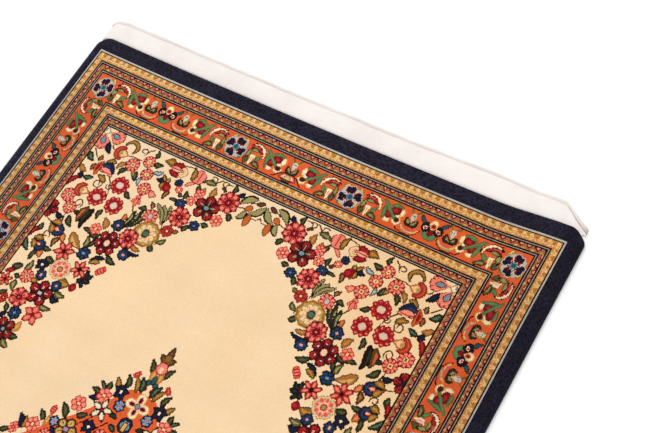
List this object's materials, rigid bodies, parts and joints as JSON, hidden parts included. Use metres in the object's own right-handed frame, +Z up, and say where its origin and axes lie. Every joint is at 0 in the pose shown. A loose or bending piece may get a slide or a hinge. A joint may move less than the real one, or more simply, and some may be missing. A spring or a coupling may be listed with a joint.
{
  "type": "persian rug",
  "caption": "Flat hand-knotted rug with short wool pile, a floral medallion design inside patterned borders, wrapped side cords and plain woven hemmed ends.",
  "frame": {"origin": "on the floor, under the middle of the rug", "axes": "+Z up out of the pile, +Y along the rug's length, +X across its width"},
  "size_m": [1.0584, 1.7082, 0.008],
  "materials": {
    "ivory_wool_pile": "short sheared wool pile, ivory ground with knotted multicolour flowers",
    "navy_wool_wrap": "close wrapped navy wool yarn",
    "white_cotton_kilim": "plain-woven off-white cotton with a turned hem"
  },
  "bodies": {
    "root": {"knotted_pile": "ivory_wool_pile", "selvedge_right": "navy_wool_wrap", "selvedge_left": "navy_wool_wrap", "kilim_far_end": "white_cotton_kilim", "kilim_near_end": "white_cotton_kilim"}
  },
  "joints": []
}
